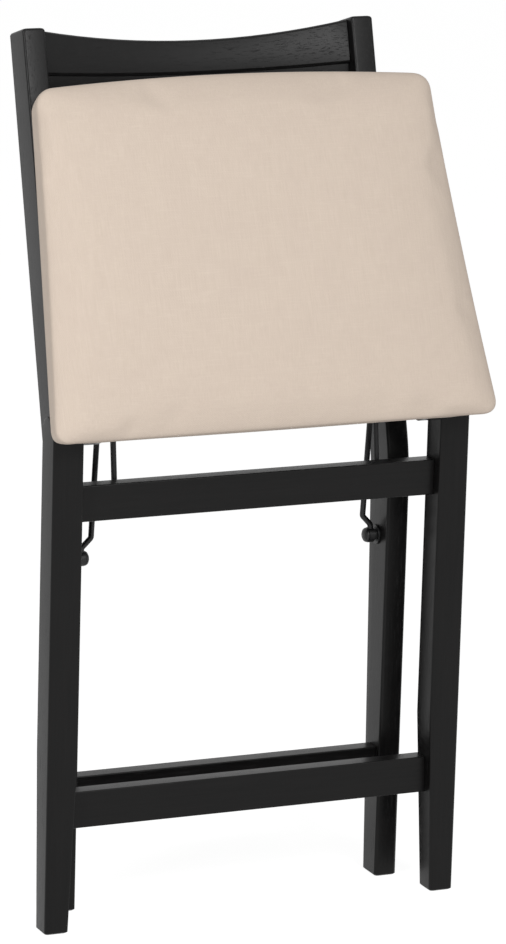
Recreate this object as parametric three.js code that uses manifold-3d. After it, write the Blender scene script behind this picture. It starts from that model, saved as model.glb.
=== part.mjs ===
// Folding bar stool, folded and standing on its four feet.
// Millimetres, +Z up, the front of the stool faces -Y, left and right as seen from the front.
import * as THREE from 'three';
import { mergeVertices } from 'three/addons/utils/BufferGeometryUtils.js';
import Module from 'manifold-3d';

const wasm = await Module();
wasm.setup();

// Fits shared by all the pieces
const SEAM = 0.3;
const RUNNING = 0.4;
const OVERRUN = 5;
const EASE = 3;
const DEGREE = Math.PI / 180;

// Front frame: two legs, an upper rail and a foot rail
const FRONT_WIDTH = 488;
const FRONT_LEG_WIDTH = 35;
const FRONT_LEG_DEPTH = 36;
const FRONT_HINGE_HEIGHT = 552;
const FOOT_TAPER = 7.5;
const FOOT_TAPER_HEIGHT = 200;
const RAIL_THICKNESS = 19.5;
const RAIL_SETBACK = 13;
const UPPER_RAIL_TOP = 493;
const UPPER_RAIL_HEIGHT = 39.5;
const FOOT_RAIL_TOP = 154;
const FOOT_RAIL_HEIGHT = 41;

// Rear frame: two bent legs that run up into the back
const FRAME_CLEARANCE = 2;
const FRAME_STANDOFF = 32.5;
const REAR_LEG_WIDTH = 26;
const REAR_FOOT_DEPTH = 34;
const BEND_DEPTH = 49;
const POST_TOP_DEPTH = 43;
const BEND_HEIGHT = 481.5;
const BEND_RADIUS = 226;
const RAKE = 16.15 * DEGREE;
const POST_TOP_HEIGHT = 954;
const STRETCHER_TOP = 150;
const STRETCHER_HEIGHT = 38;
const STRETCHER_THICKNESS = 20;
const STRETCHER_SETBACK = 8;

// Back: a scooped crest rail over two curved slats, all hollowed for the sitter
const CREST_DROP = 2;
const CREST_SCOOP = 15;
const CREST_FACE_HEIGHT = 48;
const CREST_FACE_SAG = 4;
const CREST_LIP_HEIGHT = 40;
const CREST_LIP_RECESS = 5;
const CREST_LIP_UNDERCUT = 4;
const BACK_SETBACK = 11;
const BACK_HOLLOW = 11;
const BACK_THICKNESS = 18;
const SLAT_HEIGHT = 40;

// Seat: a padded board on two cleats, wider at its front edge, its cover turned under the board
const SEAT_FRONT_WIDTH = 516;
const SEAT_REAR_WIDTH = 464;
const SEAT_LENGTH = 396;
const SEAT_FRONT_BOW = 3;
const SEAT_REAR_BOW = 12;
const SEAT_FRONT_CORNER = 23;
const SEAT_REAR_CORNER = 26;
const SEAT_FOLDED_TILT = 23 * DEGREE;
const CUSHION_BELOW = 12;
const CUSHION_WALL = 12;
const CUSHION_CROWN = 15;
const CUSHION_DRAW_IN = 3;
const CUSHION_TUCK = 8;
const CUSHION_FULLNESS = 0.6;
const BOARD_THICKNESS = 12;
const BOARD_INSET = 8;
const HEM_THICKNESS = 1.5;
const HEM_WIDTH = 24;
const LINING_THICKNESS = 0.8;
const LINING_INSET = 12;
const HINGE_SETBACK = 24.5;
const HINGE_DROP = 24.2;
const CLEAT_THICKNESS = 20;
const CLEAT_NOSE = 15;
const CLEAT_HEIGHT = 28;
const CLEAT_STEP = 40;
const CLEAT_LENGTH = 205;

// Open seat: it rests on the rear rail, with its rear edge just before the posts
const OPEN_LEAN = 11 * DEGREE;
const SEAT_RAIL_TOP = 567;
const SEAT_RAIL_HEIGHT = 34;
const SEAT_RAIL_DEPTH = 24;
const SEAT_RAIL_LEDGE = 22;
const SEAT_RAIL_ROD_GAP = 2;
const SEAT_REST_GAP = 0.6;
const SEAT_POST_GAP = 4;

// Steel linkage: a brace rod and a stay rod on each side
const ROD_RADIUS = 3.2;
const ROD_BEND = 8;
const JOG_BEND = 5;
const BRACE_PIVOT_HEIGHT = 391;
const BRACE_PIVOT_BACK = 26.5;
const BRACE_INSET = 19;
const BRACE_EYE_INSET = 8.5;
const BRACE_JOG_START = 12;
const BRACE_JOG_END = 23;
const BRACE_PIVOT_DROP = 12.7;
const BRACE_END_INSET = 1.5;
const EYE_RADIUS = 8.5;
const EYE_THICKNESS = 6;
const PIVOT_BOLT_RADIUS = 4;
const PIVOT_HEAD_RADIUS = 8;
const PIVOT_HEAD_HEIGHT = 5;
const PIVOT_BOLT_BURY = 14;
const WASHER_RADIUS = 11;
const WASHER_THICKNESS = 2;
const HINGE_BOLT_RADIUS = 4;
const HINGE_HEAD_RADIUS = 8;
const HINGE_HEAD_HEIGHT = 4;
const HINGE_BOLT_BURY = 20;
const STAY_BEHIND_RAIL = 12;
const STAY_ABOVE_RAIL_BOTTOM = 14;
const STAY_PLATE_THICKNESS = 2.2;
const STAY_PLATE_WIDTH = 30;
const STAY_PLATE_HEIGHT = 26;
const STAY_EAR_THICKNESS = 2.5;
const STAY_EAR_RADIUS = 8;
const STAY_END_PROUD = 3;
const RIVET_RADIUS = 5.5;
const RIVET_HEAD_HEIGHT = 2.5;

// Facets
const CORNER_STEPS = 2;
const ROD_SIDES = 10;
const ROUND_SIDES = 24;
const BEND_STEPS = 5;
const BACK_STEPS = 16;
const LEG_TOP_STEPS = 5;
const LEG_BEND_STEPS = 6;
const NOSE_STEPS = 8;
const SEAT_CORNER_STEPS = 4;
const SEAT_EDGE_STEPS = 6;

// Places worked out from those sizes, in the side view as [y, z]
const FRONT_INNER = FRONT_WIDTH / 2 - FRONT_LEG_WIDTH;
const REAR_OUTER = FRONT_INNER - FRAME_CLEARANCE;
const REAR_INNER = REAR_OUTER - REAR_LEG_WIDTH;
const REAR_FACE = FRONT_LEG_DEPTH + FRAME_STANDOFF;
const POST_SLOPE = Math.tan(RAKE);
const FRONT_HINGE = [FRONT_LEG_DEPTH / 2, FRONT_HINGE_HEIGHT];
const HEM_TOP = CUSHION_BELOW + SEAM + BOARD_THICKNESS + SEAM;
const HEM_BOTTOM = HEM_TOP + HEM_THICKNESS;
const UNDERSIDE = HEM_BOTTOM + SEAM + LINING_THICKNESS;
const BRACE_PIVOT = [REAR_FACE + BRACE_PIVOT_BACK, BRACE_PIVOT_HEIGHT];
const STAY_PIVOT = [
  RAIL_SETBACK + RAIL_THICKNESS + STAY_BEHIND_RAIL,
  UPPER_RAIL_TOP - UPPER_RAIL_HEIGHT + STAY_ABOVE_RAIL_BOTTOM,
];
const BRACE_PIVOT_DEPTH = UNDERSIDE + BRACE_PIVOT_DROP;
const CLEAT_FACE = FRONT_INNER - 2 * SEAM;
const BRACE_X = REAR_INNER - BRACE_INSET;
const BRACE_EYE_X = REAR_INNER - BRACE_EYE_INSET;
const STAY_X = BRACE_X - 2 * ROD_RADIUS - RUNNING;

// Side-view vectors
const plus = (p, q, k = 1) => [p[0] + k * q[0], p[1] + k * q[1]];
const minus = (p, q) => [p[0] - q[0], p[1] - q[1]];
const dot = (p, q) => p[0] * q[0] + p[1] * q[1];
const heading = (p) => Math.atan2(p[1], p[0]);
const turned = ([y, z], angle) => [
  y * Math.cos(angle) - z * Math.sin(angle),
  y * Math.sin(angle) + z * Math.cos(angle),
];

// The seat's own directions: towards its rear edge, and down through its board
function seatPlace(origin, angle) {
  const along = turned([1, 0], angle);
  const down = turned([0, -1], angle);
  return { origin, along, down, at: (a, v) => plus(plus(origin, along, a), down, v) };
}

// Where the seat and the links stand folded and open
function solveLinkage() {
  const foldedAngle = Math.PI / 2 - SEAT_FOLDED_TILT;
  const hingeLocal = [HINGE_SETBACK, UNDERSIDE + HINGE_DROP];
  const base = seatPlace([0, 0], foldedAngle);
  const folded = seatPlace(minus(FRONT_HINGE, base.at(...hingeLocal)), foldedAngle);

  const { along, down } = seatPlace([0, 0], -OPEN_LEAN);
  const railEdge = [postFaceAt(SEAT_RAIL_TOP), SEAT_RAIL_TOP];
  const middle = plus(railEdge, down, -(UNDERSIDE + SEAT_REST_GAP));
  const reach = (postFaceAt(middle[1]) - SEAT_POST_GAP - middle[0]) / (along[0] - POST_SLOPE * along[1]);
  const open = seatPlace(plus(middle, along, reach - SEAT_LENGTH), -OPEN_LEAN);

  // The brace rod keeps its length, so its seat pivot is where both distances agree
  const foldedStart = minus(folded.at(0, BRACE_PIVOT_DEPTH), BRACE_PIVOT);
  const openStart = minus(open.at(0, BRACE_PIVOT_DEPTH), BRACE_PIVOT);
  const braceAlong = (dot(openStart, openStart) - dot(foldedStart, foldedStart))
    / (2 * (dot(folded.along, foldedStart) - dot(open.along, openStart)));
  const braceFolded = minus(folded.at(braceAlong, BRACE_PIVOT_DEPTH), BRACE_PIVOT);
  const braceOpen = minus(open.at(braceAlong, BRACE_PIVOT_DEPTH), BRACE_PIVOT);
  const braceLength = Math.hypot(...braceFolded);

  // The front legs reach the line on which the rear feet stand
  const hingeOpen = open.at(...hingeLocal);
  const rearHeel = [REAR_FACE + REAR_FOOT_DEPTH, 0];
  const rise = Math.max(dot(rearHeel, down), dot([REAR_FACE, 0], down)) - dot(hingeOpen, down);
  const toe = Math.hypot(FRONT_HINGE_HEIGHT, FRONT_HINGE[0]);
  const splay = Math.acos(rise / toe) + Math.atan2(FRONT_HINGE[0], FRONT_HINGE_HEIGHT);
  const frontTurn = -(OPEN_LEAN + splay);

  // The stay rod keeps its length too, which sets where it is riveted to the brace rod
  const stayFolded = minus(BRACE_PIVOT, STAY_PIVOT);
  const stayPivotOpen = plus(hingeOpen, turned(minus(STAY_PIVOT, FRONT_HINGE), frontTurn));
  const stayOpen = minus(BRACE_PIVOT, stayPivotOpen);
  const foldedWay = [braceFolded[0] / braceLength, braceFolded[1] / braceLength];
  const openWay = [braceOpen[0] / braceLength, braceOpen[1] / braceLength];
  const rivetReach = (dot(stayOpen, stayOpen) - dot(stayFolded, stayFolded))
    / (2 * (dot(foldedWay, stayFolded) - dot(openWay, stayOpen)));
  const rivetFolded = plus(BRACE_PIVOT, foldedWay, rivetReach);
  const rivetOpen = plus(BRACE_PIVOT, openWay, rivetReach);

  return {
    folded,
    open,
    foldedAngle,
    frontHinge: FRONT_HINGE,
    bracePivot: BRACE_PIVOT,
    stayPivot: STAY_PIVOT,
    braceAlong,
    braceLength,
    foldedWay,
    rivetReach,
    rivetFolded,
    rivetOpen,
    stayPivotOpen,
    hingeOpen,
    bracePivotFolded: plus(BRACE_PIVOT, braceFolded),
    braceTurn: heading(braceOpen) - heading(braceFolded),
    seatTurn: -OPEN_LEAN - foldedAngle,
    frontTurn,
    stayTurn: heading(minus(rivetOpen, stayPivotOpen)) - heading(minus(rivetFolded, STAY_PIVOT)),
    seatHeight: rise + dot(minus(hingeOpen, open.origin), down),
  };
}

function postFaceAt(height) {
  return REAR_FACE + POST_SLOPE * (height - BEND_HEIGHT);
}

const linkage = solveLinkage();

// Closed surfaces
function facingOut(geometry) {
  const position = geometry.getAttribute('position');
  const index = geometry.getIndex();
  const a = new THREE.Vector3();
  const b = new THREE.Vector3();
  const c = new THREE.Vector3();
  let volume = 0;
  for (let i = 0; i < index.count; i += 3) {
    a.fromBufferAttribute(position, index.getX(i));
    b.fromBufferAttribute(position, index.getX(i + 1));
    c.fromBufferAttribute(position, index.getX(i + 2));
    volume += a.dot(b.cross(c));
  }
  if (volume < 0) {
    for (let i = 0; i < index.count; i += 3) {
      const first = index.getX(i);
      index.setX(i, index.getX(i + 1));
      index.setX(i + 1, first);
    }
  }
  return geometry;
}

function surface(positions, triangles) {
  const geometry = new THREE.BufferGeometry();
  geometry.setAttribute('position', new THREE.Float32BufferAttribute(positions, 3));
  geometry.setIndex(triangles);
  return facingOut(geometry);
}

// A skin through equal outlines: place(row, a, b) puts a point of an outline in space
function loft(outlines, place) {
  const count = outlines[0].length;
  const positions = outlines.flatMap((outline, row) => outline.flatMap(([a, b]) => place(row, a, b)));
  const triangles = [];
  for (let row = 0; row + 1 < outlines.length; row += 1) {
    for (let i = 0; i < count; i += 1) {
      const here = row * count + i;
      const next = row * count + (i + 1) % count;
      triangles.push(here, next, next + count, here, next + count, here + count);
    }
  }
  const last = (outlines.length - 1) * count;
  const flat = (outline) => outline.map(([a, b]) => new THREE.Vector2(a, b));
  for (const [p, q, r] of THREE.ShapeUtils.triangulateShape(flat(outlines[0]), [])) {
    triangles.push(r, q, p);
  }
  for (const [p, q, r] of THREE.ShapeUtils.triangulateShape(flat(outlines.at(-1)), [])) {
    triangles.push(last + p, last + q, last + r);
  }
  return surface(positions, triangles);
}

// A round bar along a row of points
function bar(points, radius) {
  const count = points.length;
  const forward = points.map((point, i) => {
    const from = points[Math.max(i - 1, 0)];
    const to = points[Math.min(i + 1, count - 1)];
    return new THREE.Vector3().subVectors(to, from).normalize();
  });
  let side = new THREE.Vector3(1, 0, 0);
  if (Math.abs(forward[0].x) > Math.SQRT1_2) {
    side = new THREE.Vector3(0, 1, 0);
  }
  const frames = forward.map((way) => {
    side = side.clone().addScaledVector(way, -side.dot(way)).normalize();
    return [side, new THREE.Vector3().crossVectors(way, side)];
  });
  const ring = roundOutline(radius, ROD_SIDES);
  return loft(points.map(() => ring), (row, a, b) => {
    const [across, up] = frames[row];
    return points[row].clone().addScaledVector(across, a).addScaledVector(up, b).toArray();
  });
}

// Corners of a path rounded by one bend radius
function bentPath(corners, bends) {
  const points = [corners[0]];
  for (let i = 1; i + 1 < corners.length; i += 1) {
    const back = new THREE.Vector3().subVectors(corners[i - 1], corners[i]);
    const ahead = new THREE.Vector3().subVectors(corners[i + 1], corners[i]);
    const turn = Math.PI - back.angleTo(ahead);
    const cut = bends[i - 1] * Math.tan(turn / 2);
    const start = corners[i].clone().addScaledVector(back.normalize(), cut);
    const end = corners[i].clone().addScaledVector(ahead.normalize(), cut);
    points.push(...new THREE.QuadraticBezierCurve3(start, corners[i], end).getPoints(BEND_STEPS));
  }
  points.push(corners.at(-1));
  return points;
}

function roundOutline(radius, sides) {
  return Array.from({ length: sides }, (_, i) => {
    const angle = (i + 0.5) / sides * 2 * Math.PI;
    return [radius * Math.cos(angle), radius * Math.sin(angle)];
  });
}

// Rectangle with eased corners, from low to high in both directions
function easedRectangle(a0, a1, b0, b1, ease) {
  const [low, high] = [[a0 + ease, b0 + ease], [a1 - ease, b1 - ease]];
  const centres = [high, [low[0], high[1]], low, [high[0], low[1]]];
  return centres.flatMap((centre, quarter) => arc(centre, ease, quarter, quarter + 1, CORNER_STEPS));
}

// Points of an arc, from one quarter turn to another
function arc(centre, radius, from, to, steps) {
  return Array.from({ length: steps + 1 }, (_, i) => {
    const angle = (from + (to - from) * i / steps) * Math.PI / 2;
    return plus(centre, [Math.cos(angle), Math.sin(angle)], radius);
  });
}

function turnedPiece(profile) {
  const points = profile.map(([radius, along]) => new THREE.Vector2(radius, along));
  const geometry = new THREE.LatheGeometry(points, ROUND_SIDES);
  geometry.deleteAttribute('normal');
  geometry.deleteAttribute('uv');
  const merged = mergeVertices(geometry);
  merged.rotateZ(-Math.PI / 2);
  return withoutSlivers(merged);
}

// Faces that closed to a line on the axis are left out
function withoutSlivers(geometry) {
  const index = geometry.getIndex();
  const kept = [];
  for (let i = 0; i < index.count; i += 3) {
    const corners = [index.getX(i), index.getX(i + 1), index.getX(i + 2)];
    if (new Set(corners).size === 3) {
      kept.push(...corners);
    }
  }
  geometry.setIndex(kept);
  return facingOut(geometry);
}

// A plate drawn in the side view as [y, z], standing between two values of x
function sidePlate(outline, x0, x1) {
  return loft([outline, outline], (row, y, z) => [row === 0 ? x0 : x1, y, z]);
}

function placed(geometry, x, [y, z], turn = 0) {
  geometry.rotateX(turn);
  geometry.translate(x, y, z);
  return geometry;
}

function mirrored(geometry) {
  const copy = geometry.clone();
  copy.scale(-1, 1, 1);
  return facingOut(copy);
}

// Booleans
function toSolid(geometry) {
  const bare = new THREE.BufferGeometry();
  bare.setAttribute('position', geometry.getAttribute('position').clone());
  bare.setIndex(geometry.getIndex().clone());
  const merged = mergeVertices(bare);
  return new wasm.Manifold(new wasm.Mesh({
    numProp: 3,
    vertProperties: new Float32Array(merged.getAttribute('position').array),
    triVerts: new Uint32Array(merged.getIndex().array),
  }));
}

function fromSolid(solid) {
  const mesh = solid.getMesh();
  return surface(Array.from(mesh.vertProperties), Array.from(mesh.triVerts));
}

function joined(first, ...rest) {
  return fromSolid(rest.reduce((sum, piece) => sum.add(toSolid(piece)), toSolid(first)));
}

function cutBy(first, ...rest) {
  return fromSolid(rest.reduce((sum, piece) => sum.subtract(toSolid(piece)), toSolid(first)));
}

// A round bar or bore along x
function pin(radius, x0, x1, centre) {
  return sidePlate(roundOutline(radius, ROUND_SIDES).map((point) => plus(centre, point)), x0, x1);
}

// Materials
const lacquer = { color: 0x232121, roughness: 0.42, metalness: 0 };
const steel = { color: 0x121212, roughness: 0.35, metalness: 0.6 };
const linen = { color: 0xd9cbbc, roughness: 0.95, metalness: 0 };
const lining = { color: 0x161616, roughness: 0.95, metalness: 0 };
const plywood = { color: 0x8a6a48, roughness: 0.8, metalness: 0 };

const stool = new THREE.Group();

function add(name, geometry, finish, parent = stool) {
  const mesh = new THREE.Mesh(geometry, new THREE.MeshStandardMaterial(finish));
  mesh.name = name;
  parent.add(mesh);
  return mesh;
}

function addPair(name, rightGeometry, finish, parent = stool) {
  add(`${name}_right`, rightGeometry, finish, parent);
  add(`${name}_left`, mirrored(rightGeometry), finish, parent);
}

// Front leg: square above, tapered towards the foot on its inner and rear faces, round at the hinge
function frontLeg() {
  const top = FRONT_LEG_DEPTH / 2;
  const rows = [
    { z: 0, taper: 1, ease: EASE, trim: EASE / 2 },
    { z: EASE / 2, taper: 1 - EASE / 2 / FOOT_TAPER_HEIGHT, ease: EASE, trim: 0 },
    { z: FOOT_TAPER_HEIGHT, taper: 0, ease: EASE, trim: 0 },
    { z: FRONT_HINGE_HEIGHT, taper: 0, ease: EASE, trim: 0 },
  ];
  const outlines = rows.map(({ taper, ease, trim }) => easedRectangle(
    FRONT_INNER + taper * FOOT_TAPER + trim, FRONT_WIDTH / 2 - trim,
    trim, FRONT_LEG_DEPTH - taper * FOOT_TAPER - trim, ease,
  ));
  const heights = rows.map(({ z }) => z);
  for (let i = 1; i < LEG_TOP_STEPS; i += 1) {
    const angle = i / LEG_TOP_STEPS * Math.PI / 2;
    const half = top * Math.cos(angle);
    outlines.push(easedRectangle(FRONT_INNER, FRONT_WIDTH / 2, top - half, top + half, EASE));
    heights.push(FRONT_HINGE_HEIGHT + top * Math.sin(angle));
  }
  const leg = loft(outlines, (row, x, y) => [x, y, heights[row]]);
  const boreEnd = FRONT_INNER + HINGE_BOLT_BURY;
  return cutBy(leg, pin(HINGE_BOLT_RADIUS + SEAM, FRONT_INNER - OVERRUN, boreEnd, FRONT_HINGE));
}

// A rail's ends follow the inner faces of the legs, which taper low down
function frontRail(top, height) {
  const reachAt = (z) => FRONT_INNER + FOOT_TAPER * Math.max(1 - z / FOOT_TAPER_HEIGHT, 0) - SEAM;
  const outline = easedRectangle(RAIL_SETBACK, RAIL_SETBACK + RAIL_THICKNESS, top - height, top, EASE / 2);
  return loft([outline, outline], (row, y, z) => [(2 * row - 1) * reachAt(z), y, z]);
}

addPair('front_leg', frontLeg(), lacquer);
add('front_upper_rail', frontRail(UPPER_RAIL_TOP, UPPER_RAIL_HEIGHT), lacquer);
add('foot_rail', frontRail(FOOT_RAIL_TOP, FOOT_RAIL_HEIGHT), lacquer);

// Rear leg: one bent piece from the foot to the top of the back
function rearLeg() {
  const bendStart = BEND_HEIGHT - BEND_RADIUS * Math.tan(RAKE / 2);
  const centre = [REAR_FACE + BEND_RADIUS, bendStart];
  const stations = [
    { front: [REAR_FACE, 0], rear: [REAR_FACE + REAR_FOOT_DEPTH, 0], trim: EASE / 2 },
    { front: [REAR_FACE, EASE / 2], rear: [REAR_FACE + REAR_FOOT_DEPTH, EASE / 2], trim: 0 },
  ];
  for (let i = 0; i <= LEG_BEND_STEPS; i += 1) {
    const way = turned([-1, 0], -RAKE * i / LEG_BEND_STEPS);
    stations.push({
      front: plus(centre, way, BEND_RADIUS),
      rear: plus(centre, way, BEND_RADIUS - BEND_DEPTH),
      trim: 0,
    });
  }
  const up = turned([0, 1], -RAKE);
  const back = turned([1, 0], -RAKE);
  const bendEnd = stations.at(-1).front;
  const rise = (POST_TOP_HEIGHT - bendEnd[1]) / up[1];
  for (const [below, trim] of [[EASE, 0], [EASE / 3, EASE / 3], [0, EASE]]) {
    const front = plus(bendEnd, up, rise - below);
    stations.push({ front, rear: plus(front, back, POST_TOP_DEPTH), trim });
  }
  const depths = stations.map(({ front, rear }) => Math.hypot(...minus(rear, front)));
  const outlines = stations.map(({ trim }, row) => easedRectangle(
    REAR_INNER + trim, REAR_OUTER - trim, trim, depths[row] - trim, EASE,
  ));
  const leg = loft(outlines, (row, x, deep) => {
    const { front, rear } = stations[row];
    return [x, ...plus(front, minus(rear, front), deep / depths[row])];
  });
  const boreEnd = REAR_INNER + PIVOT_BOLT_BURY;
  return cutBy(leg, pin(PIVOT_BOLT_RADIUS + SEAM, REAR_INNER - OVERRUN, boreEnd, BRACE_PIVOT));
}

addPair('rear_leg', rearLeg(), lacquer);
const stretcherFace = REAR_FACE + STRETCHER_SETBACK;
add('rear_stretcher', sidePlate(
  easedRectangle(stretcherFace, stretcherFace + STRETCHER_THICKNESS,
    STRETCHER_TOP - STRETCHER_HEIGHT, STRETCHER_TOP, EASE / 2),
  -(REAR_INNER - SEAM), REAR_INNER - SEAM,
), lacquer);

// Rear seat rail: its top is planed to the open seat's underside, its ends stand back for the rods
function rearSeatRail() {
  const bottom = SEAT_RAIL_TOP - SEAT_RAIL_HEIGHT;
  const topAt = (y) => SEAT_RAIL_TOP - Math.tan(OPEN_LEAN) * (y - postFaceAt(SEAT_RAIL_TOP));
  const rodReach = (bottom - BRACE_PIVOT_HEIGHT) / linkage.foldedWay[1];
  const ledge = postFaceAt(SEAT_RAIL_TOP) - SEAT_POST_GAP - SEAT_RAIL_LEDGE;
  const ends = plus(BRACE_PIVOT, linkage.foldedWay, rodReach)[0] + ROD_RADIUS + SEAT_RAIL_ROD_GAP;
  const rear = ends + SEAT_RAIL_DEPTH;
  const reach = REAR_INNER - SEAM;
  const ledgeReach = STAY_X - ROD_RADIUS - SEAT_RAIL_ROD_GAP;
  const plan = [[reach, ends], [reach, rear], [-reach, rear], [-reach, ends],
    [-ledgeReach, ends], [-ledgeReach, ledge], [ledgeReach, ledge], [ledgeReach, ends]];
  return loft([plan, plan], (row, x, y) => [x, y, row === 0 ? bottom : topAt(y)]);
}

add('rear_seat_rail', rearSeatRail(), lacquer);

// The back is drawn upright on the front faces of the posts and leans with them
const back = new THREE.Group();
back.position.set(0, REAR_FACE, BEND_HEIGHT);
back.rotation.x = -RAKE;
stool.add(back);
const BACK_REACH = REAR_INNER - SEAM;
const POST_REACH = (POST_TOP_HEIGHT - BEND_HEIGHT) / Math.cos(RAKE);
const CREST_TOP = POST_REACH - CREST_DROP;
const CREST_ARRIS = CREST_TOP - CREST_FACE_HEIGHT;
const backStation = (i) => (2 * i / BACK_STEPS - 1) * BACK_REACH;
const backStations = Array.from({ length: BACK_STEPS + 1 }, (_, i) => backStation(i));
const bowShare = (x) => 1 - (x / BACK_REACH) ** 2;

function crestRail() {
  const outlines = backStations.map((x) => {
    const face = BACK_SETBACK + BACK_HOLLOW * bowShare(x);
    const rear = face + BACK_THICKNESS;
    const top = CREST_TOP - CREST_SCOOP * bowShare(x);
    const arris = CREST_ARRIS - CREST_FACE_SAG * bowShare(x);
    const lip = face + CREST_LIP_RECESS;
    const foot = arris - CREST_LIP_HEIGHT;
    return [
      [face, arris + EASE], [face + EASE, arris], [lip, arris],
      [lip + CREST_LIP_UNDERCUT, foot + EASE / 2], [lip + CREST_LIP_UNDERCUT + EASE / 2, foot],
      [rear - EASE / 2, foot], [rear, foot + EASE / 2],
      [rear, top - EASE], [rear - EASE, top],
      [face + EASE, top], [face, top - EASE],
    ];
  });
  return loft(outlines, (row, y, z) => [backStations[row], y, z]);
}

function slat(top) {
  const outlines = backStations.map((x) => {
    const face = BACK_SETBACK + BACK_HOLLOW * bowShare(x);
    return easedRectangle(face, face + BACK_THICKNESS, top - SLAT_HEIGHT, top, EASE);
  });
  return loft(outlines, (row, y, z) => [backStations[row], y, z]);
}

// The slats share the height between the crest rail and the seat rail evenly
const crestFoot = CREST_ARRIS - CREST_LIP_HEIGHT;
const slatGap = (crestFoot - (SEAT_RAIL_TOP - BEND_HEIGHT) / Math.cos(RAKE) - 2 * SLAT_HEIGHT) / 3;
add('crest_rail', crestRail(), lacquer, back);
add('back_slat_upper', slat(crestFoot - slatGap), lacquer, back);
add('back_slat_lower', slat(crestFoot - 2 * slatGap - SLAT_HEIGHT), lacquer, back);

// The seat is drawn lying flat, front edge at the origin, and tilts up to its folded place
const seat = new THREE.Group();
seat.position.set(0, ...linkage.folded.origin);
seat.rotation.x = linkage.foldedAngle;
stool.add(seat);

// Outline of the seat in plan, set in by a distance: round corners, bowed ends, waisted sides
function seatOutline(inset, waist, fullness) {
  const taper = (SEAT_REAR_WIDTH - SEAT_FRONT_WIDTH) / 2 / SEAT_LENGTH;
  const halfAt = (y) => SEAT_FRONT_WIDTH / 2 + taper * y - inset;
  const half = (SEAT_LENGTH - 2 * inset) / 2;
  const radiusOf = (corner) => Math.min(Math.max(corner + inset * fullness, EASE), half);
  const cornerArc = (y, corner, side, from) => {
    const radius = radiusOf(corner);
    return arc([halfAt(y) - radius, y - side * radius], radius, from, from + 1, SEAT_CORNER_STEPS);
  };
  const frontArc = cornerArc(inset, SEAT_FRONT_CORNER, -1, -1);
  const rearArc = cornerArc(SEAT_LENGTH - inset, SEAT_REAR_CORNER, 1, 0);
  const right = [...frontArc, ...between(frontArc.at(-1), rearArc[0]), ...rearArc];
  const left = right.map(([x, y]) => [-x, y]).reverse();
  const loop = [...right, ...between(right.at(-1), left[0]), ...left, ...between(left.at(-1), right[0])];
  return loop.map(([x, y]) => {
    const along = (y - SEAT_LENGTH / 2) / half;
    const across = x / halfAt(y);
    const bow = along > 0 ? SEAT_REAR_BOW * (across ** 2) : SEAT_FRONT_BOW * (across ** 2);
    const middle = 1 - across ** 2;
    return [x * (1 - waist * (1 - along ** 2) / halfAt(y)), y - along * (bow + waist * middle)];
  });
}

function between(from, to) {
  const step = minus(to, from).map((length) => length / SEAT_EDGE_STEPS);
  return Array.from({ length: SEAT_EDGE_STEPS - 1 }, (_, i) => plus(from, step, i + 1));
}

// Cushion: a pocket that takes the board, a hem turned under it, a full wall drawn in between the
// corners, and a crowned top. The shares are of tuck, rise and waist up the wall, then inward and rise.
const wallShares = [
  [1, 0, 0], [0.72, 0.06, 0.2], [0.5, 0.2, 0.5], [0.26, 0.42, 0.8], [0.05, 0.6, 1], [0, 0.8, 1],
];
const crownShares = [[0.03, 0.2], [0.08, 0.41], [0.17, 0.61], [0.32, 0.79], [0.52, 0.91], [0.74, 0.98]];

function cushion() {
  const wall = HEM_BOTTOM + CUSHION_WALL;
  const shoulder = wallShares.at(-1)[1] * wall - HEM_BOTTOM;
  const crown = CUSHION_WALL + CUSHION_CROWN;
  const pocket = seatOutline(BOARD_INSET - SEAM, 0, -1);
  const hem = seatOutline(BOARD_INSET + HEM_WIDTH, 0, -1);
  const rings = [
    { z: -CUSHION_BELOW, outline: pocket },
    { z: -HEM_TOP, outline: pocket },
    { z: -HEM_TOP, outline: hem },
    { z: -HEM_BOTTOM, outline: hem },
    ...wallShares.map(([tuck, rise, waist]) => ({
      z: rise * wall - HEM_BOTTOM,
      outline: seatOutline(tuck * CUSHION_TUCK, waist * CUSHION_DRAW_IN, -1),
    })),
    ...crownShares.map(([inward, rise]) => ({
      z: shoulder + rise * (crown - shoulder),
      outline: seatOutline(inward * SEAT_LENGTH / 2, (1 - inward) * CUSHION_DRAW_IN, CUSHION_FULLNESS),
    })),
  ];
  const count = rings[0].outline.length;
  const positions = rings.flatMap(({ z, outline }) => outline.flatMap(([x, y]) => [x, y, z]));
  positions.push(0, SEAT_LENGTH / 2, -CUSHION_BELOW, 0, SEAT_LENGTH / 2, crown);
  const triangles = [];
  const last = (rings.length - 1) * count;
  for (let i = 0; i < count; i += 1) {
    const next = (i + 1) % count;
    for (let row = 0; row < last; row += count) {
      triangles.push(row + i, row + next, row + count + next, row + i, row + count + next, row + count + i);
    }
    triangles.push(next, i, last + count, last + i, last + next, last + count + 1);
  }
  return surface(positions, triangles);
}

function seatSheet(inset, low, high) {
  const outline = seatOutline(inset, 0, -1);
  return loft([outline, outline], (row, x, y) => [x, y, row === 0 ? low : high]);
}

const boardTop = -CUSHION_BELOW - SEAM;
add('seat_cushion', cushion(), linen, seat);
add('seat_board', seatSheet(BOARD_INSET, boardTop - BOARD_THICKNESS, boardTop), plywood, seat);
add('seat_lining', seatSheet(LINING_INSET, -UNDERSIDE, LINING_THICKNESS - UNDERSIDE), lining, seat);

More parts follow.
